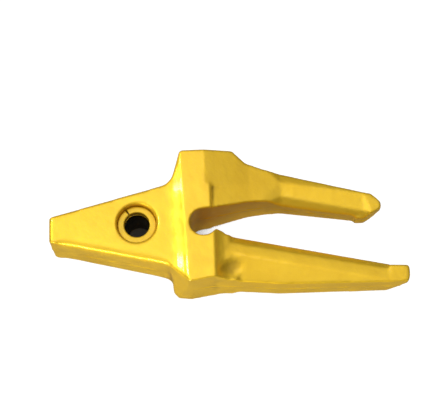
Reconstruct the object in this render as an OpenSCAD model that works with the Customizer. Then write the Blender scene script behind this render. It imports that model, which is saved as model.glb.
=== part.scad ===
// Two-strap weld-on adapter for an excavator bucket tooth, with its pin retainer ring.
// Frame: +Z is the pin axis, pointing out of the retainer pocket. +X runs along the
// nose towards the strap ends. +Y is the side of the short upper strap.
// The origin is on the pin axis, midway between the two cheeks.

/* [Nose] */
// Distance from the pin axis to the flat nose end
nose_reach = 91.5; // [88:0.5:96]
// Height of the nose end above the pin axis
nose_end_top = 9.6; // [8:0.2:12]
// Height of the nose end below the pin axis
nose_end_bottom = 17.2; // [15:0.2:19]
// Slope of the upper nose face
nose_top_angle = 14; // [13:0.1:15]
// Slope of the lower nose face
nose_bottom_angle = 13.3; // [12:0.1:14]
// Width across the cheeks at the nose end
nose_end_w = 63; // [58:0.5:66]
// Width across the cheeks where the shoulder begins
nose_root_w = 70.9; // [68:0.5:74]
// Bevel on the upright corners of the nose end
nose_bevel = 2.5; // [1:0.5:4]

/* [Pin bore] */
// Diameter of the bore for the side pin
bore_d = 25.4; // [25.2:0.1:25.9]

/* [Retainer pocket] */
// Diameter of the round pocket in one cheek
pocket_d = 41.4; // [41:0.1:42]
// Depth of the pocket below the cheek
pocket_depth = 18; // [16:0.5:20]
// Diameter of the pocket's bevelled mouth
mouth_d = 44.4; // [43:0.2:46]
// Depth of the bevelled mouth
mouth_depth = 2; // [1:0.2:3]

/* [Retainer ring] */
// Outer diameter of the ring
ring_d = 40.6; // [40:0.1:40.8]
// Inner diameter of the ring
ring_bore_d = 26.4; // [26:0.1:27]
// Thickness of the ring
ring_h = 9; // [7:0.5:10]
// Width of the split in the ring
ring_split = 1.5; // [1:0.5:4]
// Direction the split faces, from +X towards +Y
ring_turn = 125; // [0:5:355]
// Bevel on the ring's edges
ring_bevel = 1.2; // [0.5:0.1:1.5]

/* [Shoulder] */
// Width across the shoulder
shoulder_w = 85; // [82:0.5:88]
// Top of the shoulder above the pin axis
shoulder_top = 76; // [74:0.5:78]
// Bottom of the shoulder below the pin axis
shoulder_bottom = 67; // [66:0.5:69]
// Radius of the hollow sweep from each cheek out to the shoulder
sweep_r = 43; // [40:1:46]
// Lean of that sweep
sweep_lean = 2.5; // [1:0.1:4]

/* [Throat] */
// Distance from the pin axis to the centre of the round throat
throat_x = 70; // [69:0.5:71]
// Drop of the throat's centre below the pin axis
throat_drop = 3.1; // [2.5:0.1:4]
// Radius of the throat
throat_r = 14.4; // [13.6:0.1:15]

/* [Lip gap] */
// Height of the upper seat where the lip's bevelled front stops
upper_seat_y = 18.5; // [17:0.1:20]
// Slope of the upper seat
upper_seat_angle = 9; // [8:0.1:10]
// Height of the lower seat at its front edge, below the pin axis
lower_seat_drop = 15; // [14:0.1:16]
// Slope of the lower seat
lower_seat_angle = 11.2; // [10.6:0.1:12]

/* [Upper strap] */
// Width across the parting ridge where the strap leaves its root
upper_root_w = 48; // [44:1:52]
// Width across the parting ridge before the tip
upper_end_w = 35.6; // [32:0.2:40]
// Distance from the pin axis to the tip
upper_tip_x = 258.5; // [254:0.5:262]

/* [Lower strap] */
// Width across the parting ridge at the root
lower_root_w = 69; // [64:1:72]
// Width across the parting ridge before the tip
lower_end_w = 42; // [38:1:46]
// Distance from the pin axis to the tip
lower_tip_x = 283.5; // [280:0.5:287]

/* [Hidden] */
ear_skew = 6.8; // turns the bevel so that it runs out across the casting
ear_reach = -13.9;
ear_cut = [60, 54, 120];
scoop_r = 22;
$fn = 96;
slice = 0.5;
paint = [0.93, 0.76, 0.20];
half_shoulder = shoulder_w / 2;
reach_across = shoulder_w + 10;

// Places along the casting
root_x = 27;
ear_x = 35;
ledge_x = 78;
lug_x = 81;
lower_seat_x = 92;
neck_x = 118;
crest_x = 152;
upper_end_x = 240;
lower_mid_x = 150;
lower_end_x = 262;

// Heights and half widths that several pieces share
function nose_top(x) = nose_end_top + (x + nose_reach) * tan(nose_top_angle);
function nose_bottom(x) = -nose_end_bottom - (x + nose_reach) * tan(nose_bottom_angle);
function upper_seat(x) = upper_seat_y - (x - crest_x) * tan(upper_seat_angle);
function lower_seat(x) = -lower_seat_drop - (x - lower_seat_x) * tan(lower_seat_angle);
function heading(angle) = [cos(angle), sin(angle)];
half_end = nose_end_w / 2;
half_root = nose_root_w / 2;
cheek = half_end + (half_root - half_end) * nose_reach / (root_x + nose_reach);
pocket_floor = cheek - pocket_depth;

// A profile seen along the pin axis, extruded across the full width
module across() {
    linear_extrude(reach_across, center = true)
        children();
}

// A plan outline of [x, half width] pairs, standing between two heights
module plan(low, high, pairs) {
    mirrored = [for (i = [len(pairs) - 1:-1:0]) [pairs[i][0], -pairs[i][1]]];
    translate([0, high, 0])
        rotate([90, 0, 0])
            linear_extrude(high - low)
                polygon(concat(pairs, mirrored));
}

// A thin cross slice at x, from [half width, height] pairs listed from seat to outer face
module cross_slice(x, pairs) {
    near = [for (p = pairs) [p[1], p[0]]];
    far = [for (i = [len(pairs) - 1:-1:0]) [pairs[i][1], -pairs[i][0]]];
    translate([x, 0, 0])
        rotate([90, 0, 90])
            linear_extrude(slice)
                polygon(concat(near, far));
}

// A thin upright plate that ends just before x
module end_plate(x, low, high, far, near) {
    translate([x - slice, low, far])
        cube([slice, high - low, near - far]);
}

// Points round an inner corner, from the edge heading one way to the edge heading the other
function inner_arc(corner, from, to, r) =
    let (turn = sign(to - from))
    let (centre = corner + r / sin(abs(to - from) / 2) * heading((from + to) / 2))
    [for (i = [0:6]) centre + r * heading(from - 90 * turn + (to - from - 180 * turn) * i / 6)];

// The wedge-shaped nose that the tooth slides over
module nose() {
    intersection() {
        across()
            polygon([
                [-nose_reach, nose_end_top],
                [root_x + 5, nose_top(root_x + 5)],
                [root_x + 5, nose_bottom(root_x + 5)],
                [-nose_reach, -nose_end_bottom]
            ]);
        plan(-100, 100, [
            [-nose_reach, half_end - nose_bevel],
            [nose_bevel - nose_reach, half_end],
            [root_x, half_root],
            [root_x + 5, half_root - 1]
        ]);
    }
}

// Side outline of the upper ear and the root of the upper strap
module upper_outline() {
    corner = [ear_x + 1.3, nose_top(ear_x + 1.3)];
    heel = [neck_x - 2.5, shoulder_top - 13];
    polygon(concat([
        [root_x, -throat_drop],
        [root_x, nose_top(root_x)]
    ], inner_arc(corner, 194, 73.5, 17.5), [
        [ear_x + 11, shoulder_top - 2.4],
        [ear_x + 13.2, shoulder_top - 0.4],
        [ear_x + 34, shoulder_top],
        [heel[0] - 13.5, shoulder_top - 0.4]
    ], inner_arc(heel, 136.5, -19.2, 8), [
        [neck_x + 15, 56.9],
        [crest_x + 0.5, 52.2],
        [crest_x + 0.5, upper_seat(crest_x + 0.5)],
        [crest_x, upper_seat_y],
        [crest_x - 15, upper_seat_y + 2.4],
        [neck_x, upper_seat_y + 1.3],
        [throat_x + 4.6, throat_r - throat_drop + 0.3],
        [throat_x, throat_r - throat_drop],
        [throat_x, -throat_drop]
    ]));
}

// Side outline of the lower ear and the root of the lower strap
module lower_outline() {
    corner = [ear_x, nose_bottom(ear_x)];
    end_x = lug_x + 27;
    polygon(concat([
        [root_x, -throat_drop],
        [root_x, nose_bottom(root_x)]
    ], inner_arc(corner, 166.7, 270, 6), [
        [ear_x + 0.2, 6 - shoulder_bottom],
        [ear_x + 4.8, 0.4 - shoulder_bottom],
        [ear_x + 18, -shoulder_bottom],
        [ear_x + 36, 3.2 - shoulder_bottom],
        [lug_x, -62.5],
        [end_x, -64.7],
        [end_x, lower_seat(end_x)],
        [lower_seat_x, -lower_seat_drop],
        [lower_seat_x - 2, 2.2 - lower_seat_drop],
        [lug_x + 0.5, 5.4 - lower_seat_drop],
        [lug_x - 5, 7 - lower_seat_drop],
        [throat_x, -throat_drop]
    ]));
}

// One hollow sweep between a cheek and the side of the shoulder
module sweep(side) {
    rotate([0, 0, sweep_lean])
        translate([root_x, 0, side * (half_root + sweep_r)])
            rotate([90, 0, 0])
                cylinder(h = 240, r = sweep_r, center = true);
}

// The skewed flat across the front of the lower ear
module ear_bevel() {
    rotate([0, ear_skew, 45])
        translate([ear_reach - ear_cut[0], -56 - ear_cut[1], -ear_cut[2] / 2])
            cube(ear_cut);
}

// The hollow ground into the foot of the lower strap where the riser was
module riser_scoop() {
    translate([lug_x + scoop_r, -55, 49])
        sphere(r = scoop_r);
}

// The shoulder block with its ears, stepped where the straps begin
module shoulder() {
    side = [root_x, half_shoulder];
    lug_side = [side, [lug_x, half_shoulder], [lug_x + 3, half_shoulder - 4], [lug_x + 9, 35]];
    difference() {
        union() {
            intersection() {
                across()
                    upper_outline();
                union() {
                    plan(-4, 38, [
                        side,
                        [ledge_x, half_shoulder],
                        [ledge_x + 1.5, half_shoulder - 3.5],
                        [neck_x + slice, 30]
                    ]);
                    plan(37, 90, [side, [ledge_x - 5, half_shoulder], [neck_x + slice, 30]]);
                    upper_root();
                }
            }
            intersection() {
                across()
                    lower_outline();
                union() {
                    plan(-34, 0, concat(lug_side, [[lug_x + 15, 33], [lug_x + 23, 24]]));
                    plan(-70, -33, concat(lug_side, [[lug_x + 17, 33.5], [lug_x + 27, 23]]));
                }
            }
        }
        for (cheek_side = [-1, 1]) {
            sweep(cheek_side);
        }
        ear_bevel();
    }
}

// The straight-sided neck changing into the bevelled strap section
module upper_root() {
    hull() {
        cross_slice(neck_x, [[30, 10], [30, 80]]);
        cross_slice(crest_x, [
            [14.7, upper_seat_y],
            [21.8, upper_seat_y + 8.9],
            [upper_root_w / 2, 41.5],
            [upper_root_w / 2 - 12.5, 80]
        ]);
    }
}

// The short strap, with weld bevels beside its seat
module upper_strap() {
    end = upper_end_w / 2;
    hull() {
        cross_slice(crest_x, [
            [14.7, upper_seat_y],
            [21.8, upper_seat_y + 8.9],
            [upper_root_w / 2, 41.5],
            [upper_root_w / 2 - 3.5, 52.3]
        ]);
        cross_slice(upper_end_x, [
            [10.4, upper_seat(upper_end_x)],
            [15.2, upper_seat(upper_end_x) + 5.6],
            [end, 28.5],
            [end - 0.8, 30.5]
        ]);
    }
}

// The pointed end of the short strap, cut on the skew
module upper_tip() {
    end = upper_end_w / 2;
    seat = upper_seat(upper_end_x) - 1.3;
    hull() {
        cross_slice(upper_end_x, [
            [10.4, seat],
            [15.2, seat + 6.9],
            [end, 28.5],
            [end - 0.8, 30.5]
        ]);
        end_plate(upper_tip_x - 10, 7.5, 28.8, -8, end - 0.8);
        end_plate(upper_tip_x, 13, 19.5, 5, end - 1.8);
    }
}

// The raised weld pad under the end of the short strap
module weld_pad() {
    start = upper_end_x - 11;
    seat = upper_seat(upper_end_x) - 1.3;
    linear_extrude(20.8, center = true)
        polygon([
            [start, upper_seat(start) + 1],
            [start, upper_seat(start)],
            [start + 2.5, seat + 0.1],
            [upper_end_x + slice, seat],
            [upper_end_x + slice, seat + 3]
        ]);
}

// The long strap, with weld bevels beside its seat
module lower_strap() {
    root = lower_root_w / 2;
    middle = (root + lower_end_w / 2) / 2 + 0.75;
    end = lower_end_w / 2;
    hull() {
        cross_slice(lug_x + 7, [
            [root - 8.5, lower_seat(lug_x + 7)],
            [root - 1.7, -22.7],
            [root, -34],
            [root - 10.5, -63]
        ]);
        cross_slice(lower_mid_x, [
            [middle - 7.3, lower_seat(lower_mid_x)],
            [middle - 1.3, -34],
            [middle, -46],
            [middle - 5.5, -68.3]
        ]);
        cross_slice(lower_end_x, [
            [end - 6, lower_seat(lower_end_x)],
            [end - 1.2, -54.8],
            [end, -67.3],
            [end - 0.5, -69]
        ]);
    }
}

// The pointed end of the long strap, cut on the skew
module lower_tip() {
    end = lower_end_w / 2;
    hull() {
        cross_slice(lower_end_x, [
            [end - 0.7, lower_seat(lower_end_x) - 1.5],
            [end - 0.2, -60],
            [end, -67.3],
            [end - 0.5, -69]
        ]);
        end_plate(lower_tip_x - 2, -68.6, -50.9, 8.5, end - 1.2);
        end_plate(lower_tip_x, -62, -53, 11, end - 2);
    }
}

// Bore and retainer pocket, open to one cheek
module pin_hole() {
    cylinder(h = 120, d = bore_d, center = true);
    translate([0, 0, pocket_floor])
        cylinder(h = 40, d = pocket_d);
    translate([0, 0, cheek - mouth_depth])
        cylinder(h = 2 * mouth_depth, d1 = pocket_d, d2 = 2 * mouth_d - pocket_d);
}

module adapter_casting() {
    color(paint)
        difference() {
            union() {
                nose();
                shoulder();
                upper_strap();
                upper_tip();
                weld_pad();
                lower_strap();
                lower_tip();
            }
            translate([throat_x, -throat_drop, 0])
                cylinder(h = 120, r = throat_r, center = true);
            pin_hole();
            riser_scoop();
        }
}

module lock_ring() {
    inner = ring_bore_d / 2;
    outer = ring_d / 2;
    color(paint)
        translate([0, 0, pocket_floor + 0.3])
            difference() {
                rotate_extrude()
                    polygon([
                        [inner + ring_bevel, 0],
                        [outer - ring_bevel, 0],
                        [outer, ring_bevel],
                        [outer, ring_h - ring_bevel],
                        [outer - ring_bevel, ring_h],
                        [inner + ring_bevel, ring_h],
                        [inner, ring_h - ring_bevel],
                        [inner, ring_bevel]
                    ]);
                rotate([0, 0, ring_turn])
                    translate([0, -ring_split / 2, -1])
                        cube([ring_d, ring_split, ring_h + 2]);
            }
}

adapter_casting();
lock_ring();
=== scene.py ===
"""Studio scene of a weld-on bucket tooth adapter with its pin retainer ring."""
import logging
import math
from dataclasses import dataclass, field
from enum import Enum

import bmesh
import bpy
import numpy as np
from mathutils import Matrix, Vector


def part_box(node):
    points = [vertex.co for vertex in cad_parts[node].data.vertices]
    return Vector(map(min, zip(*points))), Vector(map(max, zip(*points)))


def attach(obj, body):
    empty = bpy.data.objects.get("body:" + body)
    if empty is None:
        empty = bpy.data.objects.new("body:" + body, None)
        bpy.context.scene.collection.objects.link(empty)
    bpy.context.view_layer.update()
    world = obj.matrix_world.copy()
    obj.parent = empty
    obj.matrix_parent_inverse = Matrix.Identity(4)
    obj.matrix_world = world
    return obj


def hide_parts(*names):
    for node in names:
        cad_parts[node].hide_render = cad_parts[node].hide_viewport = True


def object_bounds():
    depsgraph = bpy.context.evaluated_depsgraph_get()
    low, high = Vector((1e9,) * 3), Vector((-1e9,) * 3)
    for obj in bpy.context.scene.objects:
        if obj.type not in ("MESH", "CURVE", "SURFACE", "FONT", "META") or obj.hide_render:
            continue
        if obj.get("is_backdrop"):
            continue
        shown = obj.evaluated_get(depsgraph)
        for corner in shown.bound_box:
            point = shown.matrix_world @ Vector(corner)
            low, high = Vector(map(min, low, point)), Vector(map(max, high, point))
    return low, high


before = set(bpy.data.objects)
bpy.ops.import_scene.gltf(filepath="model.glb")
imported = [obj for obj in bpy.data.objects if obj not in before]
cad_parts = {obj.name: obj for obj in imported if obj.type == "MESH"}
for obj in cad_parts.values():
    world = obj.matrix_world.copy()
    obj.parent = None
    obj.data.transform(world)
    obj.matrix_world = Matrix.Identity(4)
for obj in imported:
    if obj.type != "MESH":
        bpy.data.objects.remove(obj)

log = logging.getLogger("adapter")
MM = 0.001
# Near-black colour painted on the pin bore's wall: painted shade for the dark inside of the bore.
BORE_SHADE_COLOUR = (0.012, 0.010, 0.008, 1)
# Dark ochre for hollows and inner corners: partly grime, partly painted shade in the recesses.
GRIME_AND_SHADE_COLOUR = (0.36, 0.20, 0.006, 1)
EDGE_TINT = (1.0, 0.72, 0.16, 1)


# ---------------------------------------------------------------- node helpers


class Way(Enum):
    """Which side of a node group a socket is on."""

    IN = "INPUT"
    OUT = "OUTPUT"


class TreeMaker:
    """Adds and links nodes in one node tree with short calls."""

    def __init__(self, tree: bpy.types.NodeTree) -> None:
        """Keeps the tree.

        Args:
            tree: the shader or geometry tree that the nodes go into.
        """
        self.tree = tree

    def add(self, kind: str, **values: object) -> bpy.types.Node:
        """Adds a node.

        Args:
            kind: the node's type name.
            values: attributes of the node to set.

        Returns:
            The new node.
        """
        node = self.tree.nodes.new(kind)
        for name, value in values.items():
            setattr(node, name, value)
        return node

    def link(self, source: bpy.types.NodeSocket, target: bpy.types.NodeSocket) -> None:
        """Joins an output to an input."""
        self.tree.links.new(source, target)

    def math(self, operation: str, *inputs: object, clamp: bool = False) -> bpy.types.NodeSocket:
        """Adds a Math node.

        Args:
            operation: the node's operation.
            inputs: sockets or numbers, one per input.
            clamp: whether the result is held between 0 and 1.

        Returns:
            The node's output.
        """
        node = self.add("ShaderNodeMath", operation=operation, use_clamp=clamp)
        for slot, value in zip(node.inputs, inputs):
            if isinstance(value, bpy.types.NodeSocket):
                self.link(value, slot)
            else:
                slot.default_value = value
        return node.outputs[0]

    def ramp(self, value: bpy.types.NodeSocket, low: float, high: float) -> bpy.types.NodeSocket:
        """Maps a value smoothly from 0 at low to 1 at high.

        Args:
            value: the value to map.
            low: the value that becomes 0.
            high: the value that becomes 1.

        Returns:
            The mapped value.
        """
        node = self.add("ShaderNodeMapRange", interpolation_type="SMOOTHSTEP")
        self.link(value, node.inputs["Value"])
        node.inputs["From Min"].default_value = low
        node.inputs["From Max"].default_value = high
        return node.outputs["Result"]

    def pin_distance(self, where: bpy.types.NodeSocket) -> bpy.types.NodeSocket:
        """Measures how far a position is from the pin axis.

        Args:
            where: the position.

        Returns:
            The distance, in metres.
        """
        flat = self.add("ShaderNodeVectorMath", operation="MULTIPLY")
        self.link(where, flat.inputs[0])
        flat.inputs[1].default_value = (1, 1, 0)
        reach = self.add("ShaderNodeVectorMath", operation="LENGTH")
        self.link(flat.outputs[0], reach.inputs[0])
        return reach.outputs["Value"]

    def noise(
        self, where: bpy.types.NodeSocket, size: float, detail: float, seed: float
    ) -> bpy.types.NodeSocket:
        """Adds a seeded noise.

        Args:
            where: the position that the noise is read at.
            size: the size of its largest features, in metres.
            detail: how many finer layers it has.
            seed: a number that picks the pattern.

        Returns:
            The noise, from 0 to 1.
        """
        node = self.add("ShaderNodeTexNoise", noise_dimensions="4D")
        self.link(where, node.inputs["Vector"])
        node.inputs["W"].default_value = seed
        node.inputs["Scale"].default_value = 1 / size
        node.inputs["Detail"].default_value = detail
        return node.outputs[0]


def new_group(
    name: str, kind: str, sockets: list[tuple[str, Way, str, float | None]]
) -> bpy.types.NodeTree:
    """Makes an empty node group with its inputs and outputs.

    Args:
        name: the group's name.
        kind: the tree's type, shader or geometry.
        sockets: (name, side, socket type, default or None) for each.

    Returns:
        The node group.
    """
    tree = bpy.data.node_groups.new(name, kind)
    for label, way, socket, default in sockets:
        item = tree.interface.new_socket(label, in_out=way.value, socket_type=socket)
        if default is not None:
            item.default_value = default
    return tree


def mesh_object(name: str, mesh: bpy.types.Mesh) -> bpy.types.Object:
    """Puts a mesh into the scene at the origin.

    Args:
        name: the object's name.
        mesh: its mesh.

    Returns:
        The new object.
    """
    piece = bpy.data.objects.new(name, mesh)
    bpy.context.scene.collection.objects.link(piece)
    return piece


def baked(piece: bpy.types.Object) -> bpy.types.Object:
    """Turns a piece and its modifiers into a plain mesh.

    Args:
        piece: the object whose modifiers are done.

    Returns:
        A new object of the same name, with no modifiers.
    """
    name = piece.name
    graph = bpy.context.evaluated_depsgraph_get()
    mesh = bpy.data.meshes.new_from_object(piece.evaluated_get(graph), depsgraph=graph)
    bpy.data.objects.remove(piece)
    mesh.name = name
    done = mesh_object(name, mesh)
    for polygon in mesh.polygons:
        polygon.use_smooth = True
    return done


def mark_relief(mesh: bpy.types.Mesh, passes: int, height: float) -> None:
    """Stores how far each point stands out of its surroundings as the attribute "relief".

    Args:
        mesh: the mesh, with even faces.
        passes: how many times the surroundings are averaged.
        height: the stand-out that counts as 1, in metres.
    """
    count = len(mesh.vertices)
    points = np.empty(count * 3)
    mesh.vertices.foreach_get("co", points)
    points = points.reshape(-1, 3)
    normals = np.empty(count * 3, dtype=np.float32)
    mesh.vertices.foreach_get("normal", normals)
    ends = np.empty(len(mesh.edges) * 2, dtype=np.int32)
    mesh.edges.foreach_get("vertices", ends)
    one, two = ends[0::2], ends[1::2]
    number = np.bincount(one, minlength=count) + np.bincount(two, minlength=count)
    even = points.copy()
    for _ in range(passes):
        total = [
            np.bincount(one, even[two, axis], count) + np.bincount(two, even[one, axis], count)
            for axis in range(3)
        ]
        even = np.stack(total, axis=1) / number[:, None]
    relief = ((points - even) * normals.reshape(-1, 3)).sum(axis=1) / height
    layer = mesh.attributes.new("relief", "FLOAT", "POINT")
    layer.data.foreach_set("value", relief.astype(np.float32))


# ------------------------------------------------------------------- materials


def paint_surface_group() -> bpy.types.NodeTree:
    """Builds the group that makes sprayed paint over a rough casting.

    Returns:
        A shader group with Color, Roughness and Height outputs.
    """
    tree = new_group(
        "paint_surface",
        "ShaderNodeTree",
        [
            ("Paint", Way.IN, "NodeSocketColor", None),
            ("Thin paint", Way.IN, "NodeSocketColor", None),
            ("Grime and shade", Way.IN, "NodeSocketColor", None),
            ("Grime and shade amount", Way.IN, "NodeSocketFloat", 0.5),
            ("Bore shade radius", Way.IN, "NodeSocketFloat", 0.0),
            ("Mottle", Way.IN, "NodeSocketFloat", 0.5),
            ("Grain height", Way.IN, "NodeSocketFloat", 0.0002),
            ("Roughness low", Way.IN, "NodeSocketFloat", 0.25),
            ("Roughness high", Way.IN, "NodeSocketFloat", 0.45),
            ("Color", Way.OUT, "NodeSocketColor", None),
            ("Roughness", Way.OUT, "NodeSocketFloat", None),
            ("Height", Way.OUT, "NodeSocketFloat", None),
        ],
    )
    make = TreeMaker(tree)
    given = make.add("NodeGroupInput")
    out = make.add("NodeGroupOutput")
    place = make.add("ShaderNodeTexCoord").outputs["Object"]
    patches = make.noise(place, 45 * MM, 4, 3.0)
    streaks = make.noise(place, 12 * MM, 6, 8.0)
    peel = make.noise(place, 2.2 * MM, 2, 1.0)
    sand = make.noise(place, 5.5 * MM, 5, 5.0)
    dents = make.noise(place, 19 * MM, 3, 9.0)
    mottle = make.math("MULTIPLY", make.ramp(patches, 0.42, 0.72), given.outputs["Mottle"])
    fleck = make.math("MULTIPLY", make.ramp(streaks, 0.60, 0.76), 0.35)
    worn = make.math("ADD", mottle, make.math("MULTIPLY", fleck, given.outputs["Mottle"]), clamp=True)
    blend = make.add("ShaderNodeMix", data_type="RGBA")
    make.link(worn, blend.inputs["Factor"])
    make.link(given.outputs["Paint"], blend.inputs["A"])
    make.link(given.outputs["Thin paint"], blend.inputs["B"])
    # Hollows and inner corners, speckled by streak noise, take the dark ochre: partly grime, partly
    # painted shade.
    relief = make.add("ShaderNodeAttribute", attribute_name="relief").outputs["Fac"]
    speckled = make.math("ADD", relief, make.math("MULTIPLY", make.math("SUBTRACT", streaks, 0.5), 0.6))
    hollow = make.ramp(make.math("MULTIPLY", speckled, -1.0), 0.12, 0.9)
    grime_and_shade = make.add("ShaderNodeMix", data_type="RGBA")
    make.link(make.math("MULTIPLY", hollow, given.outputs["Grime and shade amount"]), grime_and_shade.inputs["Factor"])
    make.link(blend.outputs["Result"], grime_and_shade.inputs["A"])
    make.link(given.outputs["Grime and shade"], grime_and_shade.inputs["B"])
    # Painted shade: inside the bore radius the colour is swapped for near-black.
    shaded_bore = make.math("LESS_THAN", make.pin_distance(place), given.outputs["Bore shade radius"])
    inside = make.add("ShaderNodeMix", data_type="RGBA")
    make.link(shaded_bore, inside.inputs["Factor"])
    make.link(grime_and_shade.outputs["Result"], inside.inputs["A"])
    inside.inputs["B"].default_value = BORE_SHADE_COLOUR
    make.link(inside.outputs["Result"], out.inputs["Color"])
    rough = make.add("ShaderNodeMapRange")
    make.link(streaks, rough.inputs["Value"])
    rough.inputs["From Min"].default_value = 0.35
    rough.inputs["From Max"].default_value = 0.7
    make.link(given.outputs["Roughness low"], rough.inputs["To Min"])
    make.link(given.outputs["Roughness high"], rough.inputs["To Max"])
    make.link(rough.outputs["Result"], out.inputs["Roughness"])
    fine = make.math("ADD", make.math("MULTIPLY", peel, 0.12), make.math("MULTIPLY", sand, 0.55))
    rise = make.math("ADD", fine, make.math("MULTIPLY", dents, 1.2))
    make.link(make.math("MULTIPLY", rise, given.outputs["Grain height"]), out.inputs["Height"])
    return tree


@dataclass(frozen=True)
class SprayedPaint:
    """Glossy paint over cast or spring steel.

    Args:
        name: the material's name.
        colour: the paint's own colour, linear.
        thin: the colour where the coat is thin or dusty, linear.
        mottle: how strongly the two colours mix.
        grain: height of the surface's bumps, in metres.
        gloss: roughness of the shiniest and the dullest places.
        grime_and_shade: how strongly hollows and inner corners darken, partly grime and partly painted
            shade.
        metallic: how metallic the paint's own shine is.
        shaded_bore: radius from the pin axis inside which the surface is painted nearly black, a painted
            shade for the inside of the bore.
        coat: how strong the clear top layer is.
        coat_roughness: roughness of that layer.
    """

    name: str
    colour: tuple[float, float, float]
    thin: tuple[float, float, float]
    mottle: float
    grain: float
    gloss: tuple[float, float]
    grime_and_shade: float
    metallic: float = 0.6
    shaded_bore: float = 0.0
    coat: float = 0.4
    coat_roughness: float = 0.09

    def build(self, group: bpy.types.NodeTree) -> bpy.types.Material:
        """Makes the material.

        Args:
            group: the shared paint surface group.

        Returns:
            The material.
        """
        material = bpy.data.materials.new(self.name)
        material.use_nodes = True
        tree = material.node_tree
        tree.nodes.clear()
        make = TreeMaker(tree)
        surface = make.add("ShaderNodeGroup", node_tree=group)
        surface.inputs["Paint"].default_value = (*self.colour, 1)
        surface.inputs["Thin paint"].default_value = (*self.thin, 1)
        surface.inputs["Grime and shade"].default_value = GRIME_AND_SHADE_COLOUR
        surface.inputs["Grime and shade amount"].default_value = self.grime_and_shade
        surface.inputs["Bore shade radius"].default_value = self.shaded_bore
        surface.inputs["Mottle"].default_value = self.mottle
        surface.inputs["Grain height"].default_value = self.grain
        surface.inputs["Roughness low"].default_value = self.gloss[0]
        surface.inputs["Roughness high"].default_value = self.gloss[1]
        shader = make.add("ShaderNodeBsdfPrincipled")
        shader.inputs["Metallic"].default_value = self.metallic
        shader.inputs["IOR"].default_value = 1.5
        shader.inputs["Specular Tint"].default_value = EDGE_TINT
        shader.inputs["Coat Weight"].default_value = self.coat
        shader.inputs["Coat Roughness"].default_value = self.coat_roughness
        bump = make.add("ShaderNodeBump")
        bump.inputs["Strength"].default_value = 1.0
        bump.inputs["Distance"].default_value = 1.0
        out = make.add("ShaderNodeOutputMaterial")
        make.link(surface.outputs["Color"], shader.inputs["Base Color"])
        make.link(surface.outputs["Roughness"], shader.inputs["Roughness"])
        make.link(surface.outputs["Height"], bump.inputs["Height"])
        make.link(bump.outputs["Normal"], shader.inputs["Normal"])
        make.link(shader.outputs["BSDF"], out.inputs["Surface"])
        return material


CASTING_PAINT = SprayedPaint(
    name="casting_paint",
    colour=(0.88, 0.555, 0.026),
    thin=(0.76, 0.44, 0.012),
    mottle=0.45,
    grain=0.5 * MM,
    gloss=(0.36, 0.5),
    grime_and_shade=0.75,
    shaded_bore=13.4 * MM,
)

# The ring's paint is the casting's yellow set darker, as painted shade for its place down in the pocket.
SHADED_RING_PAINT = SprayedPaint(
    name="retainer_paint_shaded",
    colour=(0.66, 0.42, 0.02),
    thin=(0.5, 0.3, 0.01),
    mottle=0.4,
    grain=0.2 * MM,
    gloss=(0.28, 0.42),
    grime_and_shade=0.5,
)


# --------------------------------------------------------------------- casting


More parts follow.
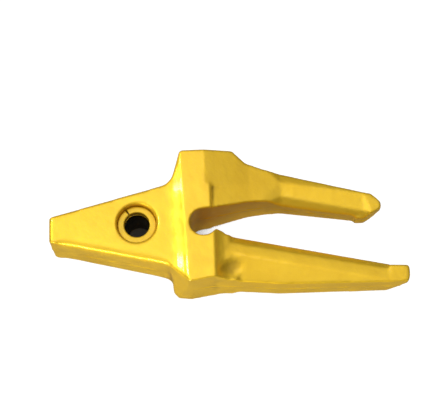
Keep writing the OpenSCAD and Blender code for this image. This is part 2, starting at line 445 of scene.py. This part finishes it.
@dataclass
class AdapterCasting:
    """The one-piece steel casting: nose, shoulder, ears and both straps.

    Args:
        voxel: edge length of the mesh's faces, in metres.
        rounding: passes of blurring that round every cast edge.
        nose_rounding: further passes that round the nose's lower edges.
        lump_height: height of the slow waves in the cast skin.
        lump_size: width of those waves.
        grit_height: height of the fine grit in the cast skin.
        grit_size: width of that grit.
        flash_height: height of the ground-off seam where the mould halves met.
        flash_width: half width of that seam.
        flash_length: length of the seam's unbroken stretches.
        smooth_radius: distance from the pin axis inside which the skin is machined.
        smooth_fade: width of the change from machined to cast skin.
        sweep_middle: distance from the pin axis to the middle of the smooth hollow sweep.
        sweep_fade: distances from its middle over which the sweep gives way to rough skin.
        sweep_grit: how much of the roughness is left on the sweep.
        swell_top: height above the pin axis of the sweep's upper swelling.
        swell_turn: how fast the sweep swells and sinks, in radians per metre.
        swell_height: height of the sweep's swellings.
        nose_reach: distance from the pin axis to the nose end.
        nose_low: height of the nose end below the pin axis.
        nose_fall: how steeply the nose's lower face falls away.
        tip_fade: X range over which the nose's extra rounding sets in.
        root_fade: X range over which it dies out again.
        edge_fade: heights above the lower face over which it dies out.
        relief_passes: passes of averaging behind the stored relief.
        relief_height: the stand-out that counts as 1 in the stored relief.
    """

    voxel: float = 1.25 * MM
    rounding: int = 4
    nose_rounding: int = 60
    lump_height: float = 0.13 * MM
    lump_size: float = 24 * MM
    grit_height: float = 0.04 * MM
    grit_size: float = 5 * MM
    flash_height: float = 0.9 * MM
    flash_width: float = 2.8 * MM
    flash_length: float = 14 * MM
    smooth_radius: float = 23 * MM
    smooth_fade: float = 6 * MM
    sweep_middle: float = 40 * MM
    sweep_fade: tuple[float, float] = (14 * MM, 26 * MM)
    sweep_grit: float = 0.1
    swell_top: float = 29 * MM
    swell_turn: float = 2 * math.pi / (65 * MM)
    swell_height: float = 0.22 * MM
    nose_reach: float = 91.5 * MM
    nose_low: float = 17.2 * MM
    nose_fall: float = 0.236
    tip_fade: tuple[float, float] = (-86 * MM, -66 * MM)
    root_fade: tuple[float, float] = (22 * MM, 36 * MM)
    edge_fade: tuple[float, float] = (5 * MM, 12 * MM)
    relief_passes: int = 24
    relief_height: float = 0.9 * MM

    def blank(self) -> bpy.types.Object:
        """Copies the CAD casting as one closed mesh.

        Returns:
            The copy, with its doubled points merged.
        """
        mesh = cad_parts["adapter_casting"].data.copy()
        mesh.name = "cast_body"
        mesh.materials.clear()
        shell = bmesh.new()
        shell.from_mesh(mesh)
        bmesh.ops.remove_doubles(shell, verts=shell.verts, dist=1e-6)
        shell.to_mesh(mesh)
        shell.free()
        return mesh_object("cast_body", mesh)

    def blurred(
        self,
        make: TreeMaker,
        geometry: bpy.types.NodeSocket,
        position: bpy.types.NodeSocket,
        passes: bpy.types.NodeSocket,
        weight: bpy.types.NodeSocket | None,
    ) -> bpy.types.NodeSocket:
        """Rounds a mesh's edges by averaging each point with its neighbours.

        Args:
            make: adds nodes to the tree.
            geometry: the mesh to round.
            position: the points' positions.
            passes: how many times to average.
            weight: how strongly each point is averaged, or None for all alike.

        Returns:
            The rounded mesh.
        """
        blur = make.add("GeometryNodeBlurAttribute", data_type="FLOAT_VECTOR")
        make.link(position, blur.inputs["Value"])
        make.link(passes, blur.inputs["Iterations"])
        if weight is not None:
            make.link(weight, blur.inputs["Weight"])
        settle = make.add("GeometryNodeSetPosition")
        make.link(geometry, settle.inputs["Geometry"])
        make.link(blur.outputs["Value"], settle.inputs["Position"])
        return settle.outputs["Geometry"]

    def nose_edge(self, make: TreeMaker, position: bpy.types.NodeSocket) -> bpy.types.NodeSocket:
        """Picks out the lower edges of the nose.

        Args:
            make: adds nodes to the tree.
            position: the points' positions.

        Returns:
            1 along the lower edges of the nose, 0 elsewhere.
        """
        place = make.add("ShaderNodeSeparateXYZ")
        make.link(position, place.inputs[0])
        behind_tip = make.ramp(place.outputs["X"], *self.tip_fade)
        root_near, root_far = self.root_fade
        before_root = make.ramp(make.math("MULTIPLY", place.outputs["X"], -1.0), -root_far, -root_near)
        along = make.math("MULTIPLY", behind_tip, before_root)
        behind_end = make.math("ADD", place.outputs["X"], self.nose_reach)
        slope = make.math("MULTIPLY", behind_end, -self.nose_fall)
        lower_face = make.math("SUBTRACT", slope, self.nose_low)
        above = make.math("SUBTRACT", place.outputs["Y"], lower_face)
        edge_near, edge_far = self.edge_fade
        near = make.ramp(make.math("MULTIPLY", above, -1.0), -edge_far, -edge_near)
        return make.math("MULTIPLY", along, near)

    def flash(
        self,
        make: TreeMaker,
        position: bpy.types.NodeSocket,
        normal: bpy.types.NodeSocket,
        width: bpy.types.NodeSocket,
    ) -> bpy.types.NodeSocket:
        """Draws the broken seam along the middle of the casting.

        Args:
            make: adds nodes to the tree.
            position: the points' positions.
            normal: the points' normals.
            width: the seam's half width.

        Returns:
            1 on the seam, 0 off it.
        """
        place = make.add("ShaderNodeSeparateXYZ")
        facing = make.add("ShaderNodeSeparateXYZ")
        make.link(position, place.inputs[0])
        make.link(normal, facing.inputs[0])
        broken = make.ramp(make.noise(position, self.flash_length, 2, 4.0), 0.35, 0.6)
        across = make.math("DIVIDE", make.math("ABSOLUTE", place.outputs["Z"]), width)
        ridge = make.math("SUBTRACT", 1.0, across, clamp=True)
        edge_on = make.math("SUBTRACT", 1.0, make.math("ABSOLUTE", facing.outputs["Z"]), clamp=True)
        return make.math("MULTIPLY", make.math("MULTIPLY", ridge, make.ramp(edge_on, 0.5, 0.8)), broken)

    def roughness_and_swell(
        self, make: TreeMaker, position: bpy.types.NodeSocket
    ) -> tuple[bpy.types.NodeSocket, bpy.types.NodeSocket]:
        """Parts the rough skin from the smooth hollow sweep, which swells gently twice.

        Args:
            make: adds nodes to the tree.
            position: the points' positions.

        Returns:
            How rough the skin is, from 0 to 1, and how far it swells, from -1 to 1.
        """
        place = make.add("ShaderNodeSeparateXYZ")
        make.link(position, place.inputs[0])
        rough_radius = self.smooth_radius + self.smooth_fade
        away = make.ramp(make.pin_distance(position), self.smooth_radius, rough_radius)
        beyond = make.math("ABSOLUTE", make.math("SUBTRACT", place.outputs["X"], self.sweep_middle))
        outside = make.math("MULTIPLY", make.ramp(beyond, *self.sweep_fade), 1 - self.sweep_grit)
        calm = make.math("ADD", outside, self.sweep_grit)
        below_top = make.math("SUBTRACT", place.outputs["Y"], self.swell_top)
        wave = make.math("COSINE", make.math("MULTIPLY", below_top, self.swell_turn))
        swell = make.math("MULTIPLY", wave, make.math("SUBTRACT", 1.0, calm))
        return make.math("MULTIPLY", away, calm), swell

    def skin_tree(self) -> bpy.types.NodeTree:
        """Builds the Geometry Nodes tree that raises the cast skin.

        Returns:
            The tree, with its sizes as named inputs.
        """
        tree = new_group(
            "cast_skin",
            "GeometryNodeTree",
            [
                ("Geometry", Way.IN, "NodeSocketGeometry", None),
                ("Lump height", Way.IN, "NodeSocketFloat", 0.0),
                ("Grit height", Way.IN, "NodeSocketFloat", 0.0),
                ("Flash height", Way.IN, "NodeSocketFloat", 0.0),
                ("Flash width", Way.IN, "NodeSocketFloat", 0.001),
                ("Swell height", Way.IN, "NodeSocketFloat", 0.0),
                ("Rounding", Way.IN, "NodeSocketInt", 8),
                ("Nose rounding", Way.IN, "NodeSocketInt", 8),
                ("Material", Way.IN, "NodeSocketMaterial", None),
                ("Geometry", Way.OUT, "NodeSocketGeometry", None),
            ],
        )
        make = TreeMaker(tree)
        given = make.add("NodeGroupInput")
        out = make.add("NodeGroupOutput")
        position = make.add("GeometryNodeInputPosition").outputs[0]
        rounded = self.blurred(make, given.outputs["Geometry"], position, given.outputs["Rounding"], None)
        nose = self.nose_edge(make, position)
        rounded = self.blurred(make, rounded, position, given.outputs["Nose rounding"], nose)
        normal = make.add("GeometryNodeInputNormal").outputs[0]
        lumps = make.math("SUBTRACT", make.noise(position, self.lump_size, 2, 2.0), 0.5)
        grit = make.math("SUBTRACT", make.noise(position, self.grit_size, 3, 6.0), 0.5)
        flash = self.flash(make, position, normal, given.outputs["Flash width"])
        rough, swell = self.roughness_and_swell(make, position)
        rise = make.math(
            "ADD",
            make.math("MULTIPLY", lumps, given.outputs["Lump height"]),
            make.math("MULTIPLY", grit, given.outputs["Grit height"]),
        )
        rise = make.math("ADD", rise, make.math("MULTIPLY", flash, given.outputs["Flash height"]))
        swell = make.math("MULTIPLY", swell, given.outputs["Swell height"])
        offset = make.add("ShaderNodeVectorMath", operation="SCALE")
        make.link(normal, offset.inputs[0])
        make.link(make.math("ADD", make.math("MULTIPLY", rise, rough), swell), offset.inputs["Scale"])
        move = make.add("GeometryNodeSetPosition")
        make.link(rounded, move.inputs["Geometry"])
        make.link(offset.outputs[0], move.inputs["Offset"])
        real = make.add("GeometryNodeRealizeInstances")
        make.link(move.outputs["Geometry"], real.inputs["Geometry"])
        paint = make.add("GeometryNodeSetMaterial")
        make.link(real.outputs["Geometry"], paint.inputs["Geometry"])
        make.link(given.outputs["Material"], paint.inputs["Material"])
        make.link(paint.outputs["Geometry"], out.inputs["Geometry"])
        return tree

    def build(self, paint: bpy.types.Material) -> bpy.types.Object:
        """Makes the casting and sets it on its CAD body.

        Args:
            paint: the casting's material.

        Returns:
            The finished piece.
        """
        piece = self.blank()
        remesh = piece.modifiers.new("skin", "REMESH")
        remesh.mode = "VOXEL"
        remesh.voxel_size = self.voxel
        tree = self.skin_tree()
        grow = piece.modifiers.new("grow", "NODES")
        grow.node_group = tree
        values = {
            "Lump height": 2 * self.lump_height,
            "Grit height": 2 * self.grit_height,
            "Flash height": self.flash_height,
            "Flash width": self.flash_width,
            "Swell height": self.swell_height,
            "Rounding": self.rounding,
            "Nose rounding": self.nose_rounding,
            "Material": paint,
        }
        for item in tree.interface.items_tree:
            if item.in_out == Way.IN.value and item.name in values:
                grow[item.identifier] = values[item.name]
        piece = baked(piece)
        mark_relief(piece.data, self.relief_passes, self.relief_height)
        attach(piece, "adapter")
        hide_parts("adapter_casting")
        return piece


# ------------------------------------------------------------------------ ring


@dataclass
class RetainerRing:
    """The split spring ring at the bottom of the pocket.

    Args:
        inner: inner radius.
        outer: outer radius.
        split: width of the split.
        split_angle: where the split is, in degrees from +X.
        edge: radius of the ring's edges.
        edge_steps: how many faces round off each edge.
        steps: how many faces go round the ring.
    """

    inner: float = 13.2 * MM
    outer: float = 20.5 * MM
    split: float = 1.4 * MM
    split_angle: float = 125.0
    edge: float = 1.3 * MM
    edge_steps: int = 4
    steps: int = 120

    def profile(self, low: float, high: float) -> list[tuple[float, float]]:
        """Lists the section's points as (radius, height).

        Args:
            low: the ring's lower face.
            high: the ring's upper face.

        Returns:
            The points, anticlockwise, with rounded corners.
        """
        corners = [
            (self.outer - self.edge, low + self.edge, -90),
            (self.outer - self.edge, high - self.edge, 0),
            (self.inner + self.edge, high - self.edge, 90),
            (self.inner + self.edge, low + self.edge, 180),
        ]
        points = []
        for radius, height, start in corners:
            for step in range(self.edge_steps + 1):
                turn = math.radians(start + 90 * step / self.edge_steps)
                points.append((radius + self.edge * math.cos(turn), height + self.edge * math.sin(turn)))
        return points

    def build(self, paint: bpy.types.Material) -> bpy.types.Object:
        """Makes the ring and sets it on its CAD body.

        Args:
            paint: the ring's material.

        Returns:
            The finished piece.
        """
        low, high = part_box("lock_ring")
        section = self.profile(low.z, high.z)
        half_gap = self.split / 2 / self.outer
        start = math.radians(self.split_angle) + half_gap
        sweep = 2 * math.pi - 2 * half_gap
        shell = bmesh.new()
        loops = []
        for step in range(self.steps + 1):
            angle = start + sweep * step / self.steps
            along, up = math.cos(angle), math.sin(angle)
            loops.append([shell.verts.new((radius * along, radius * up, z)) for radius, z in section])
        count = len(section)
        for one, two in zip(loops, loops[1:]):
            for i in range(count):
                j = (i + 1) % count
                shell.faces.new((one[i], one[j], two[j], two[i]))
        shell.faces.new(loops[0])
        shell.faces.new(loops[-1])
        bmesh.ops.recalc_face_normals(shell, faces=shell.faces)
        mesh = bpy.data.meshes.new("retainer_ring")
        shell.to_mesh(mesh)
        shell.free()
        for polygon in mesh.polygons:
            polygon.use_smooth = len(polygon.vertices) == 4
        mesh.materials.append(paint)
        piece = mesh_object("retainer_ring", mesh)
        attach(piece, "retainer")
        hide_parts("lock_ring")
        return piece


# ---------------------------------------------------------------------- studio


@dataclass(frozen=True)
class Softbox:
    """A rectangular soft light that faces the object.

    Args:
        name: the light's name.
        at: its place, in metres.
        size: its sides in metres, first the one that lies closest to +Y.
        power: its power in watts.
        aim: the point that it faces.
    """

    name: str
    at: tuple[float, float, float]
    size: tuple[float, float]
    power: float
    aim: tuple[float, float, float] = (0.04, 0, 0)

    def build(self) -> None:
        """Hangs the light."""
        data = bpy.data.lights.new(self.name, "AREA")
        data.shape = "RECTANGLE"
        data.size, data.size_y = self.size
        data.energy = self.power
        lamp = bpy.data.objects.new(self.name, data)
        back = (Vector(self.at) - Vector(self.aim)).normalized()
        across = (Vector((0, 1, 0)) - back.y * back).normalized()
        turn = Matrix((across, back.cross(across), back)).transposed()
        lamp.matrix_world = Matrix.Translation(self.at) @ turn.to_4x4()
        bpy.context.scene.collection.objects.link(lamp)


SOFTBOXES = (
    Softbox("overhead", at=(-0.25, 0.30, 1.90), size=(1.5, 1.4), power=6.5),
    Softbox("front_wall", at=(-0.8, -1.4, 0.12), size=(1.4, 0.3), power=22),
    Softbox("high_lamp", at=(-1.03, 0.47, 1.01), size=(0.03, 0.45), power=2.4),
    Softbox("low_lamp", at=(-0.97, 0.25, 1.09), size=(0.07, 0.45), power=4.5),
)


@dataclass
class Studio:
    """Camera, pale floor and soft light.

    Args:
        camera_at: where the camera stands.
        look_at: the point in the middle of its view.
        lens: focal length, in millimetres.
        zenith: brightness of the sky overhead.
        horizon: brightness of the sky at the horizon.
        sky_range: heights in the sky over which it brightens.
        floor_shade: how much light the floor throws back.
        floor_glow: brightness of the open floor to the camera.
        floor_bounce: brightness of the open floor in the object's diffuse light.
        floor_shine: brightness of the open floor in the object's reflections.
        floor_half: half the length of the floor's sides, in metres.
        floor_gap: distance between the object and the floor below it.
        cover_reach: how far the floor looks for the object above it, for its painted shadow.
        cover_range: openness at which the floor starts to glow, and glows fully; below it the floor is
            dark as a painted shadow.
        bore_shadow_radius: distance from the origin where the painted shadow spot below the bore starts
            to fade.
        bore_shadow_fade: width of that spot's soft rim.
    """

    camera_at: Vector = field(default_factory=lambda: Vector((75.60, -406.70, 1435.07)) * MM)
    look_at: Vector = field(default_factory=lambda: Vector((90.9, 31.8, 0)) * MM)
    lens: float = 113.26
    zenith: float = 0.9
    horizon: float = 0.16
    sky_range: tuple[float, float] = (0.35, 0.98)
    floor_shade: float = 0.1
    floor_glow: float = 1.0
    floor_bounce: float = 2.2
    floor_shine: float = 0.1
    floor_half: float = 6.0
    floor_gap: float = 0.5 * MM
    cover_reach: float = 50 * MM
    cover_range: tuple[float, float] = (0.1, 0.3)
    bore_shadow_radius: float = 50 * MM
    bore_shadow_fade: float = 4 * MM

    def camera(self) -> None:
        """Places the camera."""
        data = bpy.data.cameras.new("view")
        data.sensor_width = 36
        data.lens = self.lens
        data.clip_start = 0.05
        data.clip_end = 50
        eye = bpy.data.objects.new("view", data)
        eye.location = self.camera_at
        eye.rotation_euler = (self.look_at - self.camera_at).to_track_quat("-Z", "Y").to_euler()
        bpy.context.scene.collection.objects.link(eye)
        bpy.context.scene.camera = eye

    def floor_material(self) -> bpy.types.Material:
        """Makes a floor that looks white but throws back little light.

        Returns:
            The floor's material, with painted shadow: dark where the object covers it and in a spot below
            the bore.
        """
        material = bpy.data.materials.new("pale_floor")
        material.use_nodes = True
        tree = material.node_tree
        make = TreeMaker(tree)
        shader = tree.nodes["Principled BSDF"]
        shade = self.floor_shade
        shader.inputs["Base Color"].default_value = (shade, shade, shade, 1)
        shader.inputs["Roughness"].default_value = 0.9
        shader.inputs["Specular IOR Level"].default_value = 0.1
        shader.inputs["Emission Color"].default_value = (1, 1, 1, 1)
        cover = make.add("ShaderNodeAmbientOcclusion")
        cover.inputs["Distance"].default_value = self.cover_reach
        path = make.add("ShaderNodeLightPath")
        seen = make.math("MULTIPLY", path.outputs["Is Camera Ray"], self.floor_glow)
        bounce = make.math("MULTIPLY", path.outputs["Is Diffuse Ray"], self.floor_bounce)
        shine = make.math("MULTIPLY", path.outputs["Is Glossy Ray"], self.floor_shine)
        level = make.math("ADD", make.math("ADD", seen, bounce), shine)
        # Painted shadow: the glow is cut in a spot round the origin below the bore and where the object
        # covers the floor.
        spot = make.add("ShaderNodeVectorMath", operation="LENGTH")
        make.link(make.add("ShaderNodeTexCoord").outputs["Object"], spot.inputs[0])
        outside_bore_shadow = make.ramp(spot.outputs["Value"], self.bore_shadow_radius, self.bore_shadow_radius + self.bore_shadow_fade)
        outside_contact_shadow = make.ramp(cover.outputs["AO"], *self.cover_range)
        unshadowed_floor = make.math("MULTIPLY", outside_contact_shadow, outside_bore_shadow)
        glow = make.math("MULTIPLY", unshadowed_floor, level)
        make.link(glow, shader.inputs["Emission Strength"])
        return material

    def floor(self, height: float) -> None:
        """Lays a pale floor.

        Args:
            height: the floor's height.
        """
        mesh = bpy.data.meshes.new("floor")
        half = self.floor_half
        corners = [(x * half, y * half, height) for x, y in ((-1, -1), (1, -1), (1, 1), (-1, 1))]
        mesh.from_pydata(corners, [], [(0, 1, 2, 3)])
        mesh.materials.append(self.floor_material())
        mesh_object("floor", mesh)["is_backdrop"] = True

    def sky(self) -> None:
        """Makes a plain sky that is brighter overhead than at the horizon."""
        world = bpy.data.worlds.new("studio")
        world.use_nodes = True
        make = TreeMaker(world.node_tree)
        back = world.node_tree.nodes["Background"]
        back.inputs["Color"].default_value = (1, 1, 1, 1)
        way = make.add("ShaderNodeSeparateXYZ")
        make.link(make.add("ShaderNodeTexCoord").outputs["Generated"], way.inputs[0])
        height = make.ramp(way.outputs["Z"], *self.sky_range)
        rise = make.math("MULTIPLY", height, self.zenith - self.horizon)
        make.link(make.math("ADD", rise, self.horizon), back.inputs["Strength"])
        bpy.context.scene.world = world

    def light(self) -> None:
        """Sets the sky and the soft lights."""
        self.sky()
        bpy.context.scene.view_settings.view_transform = "Standard"
        for softbox in SOFTBOXES:
            softbox.build()


def main() -> None:
    """Builds the studio and the object's pieces in order."""
    logging.basicConfig(level=logging.INFO, format="%(name)s: %(message)s")
    cad_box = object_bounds()
    studio = Studio()
    studio.camera()
    studio.floor(cad_box[0].z - studio.floor_gap)
    studio.light()
    group = paint_surface_group()
    casting = AdapterCasting().build(CASTING_PAINT.build(group))
    log.info("%s: %d faces", casting.name, len(casting.data.polygons))
    ring = RetainerRing().build(SHADED_RING_PAINT.build(group))
    log.info("%s: %d faces", ring.name, len(ring.data.polygons))


if __name__ == "__main__":
    main()
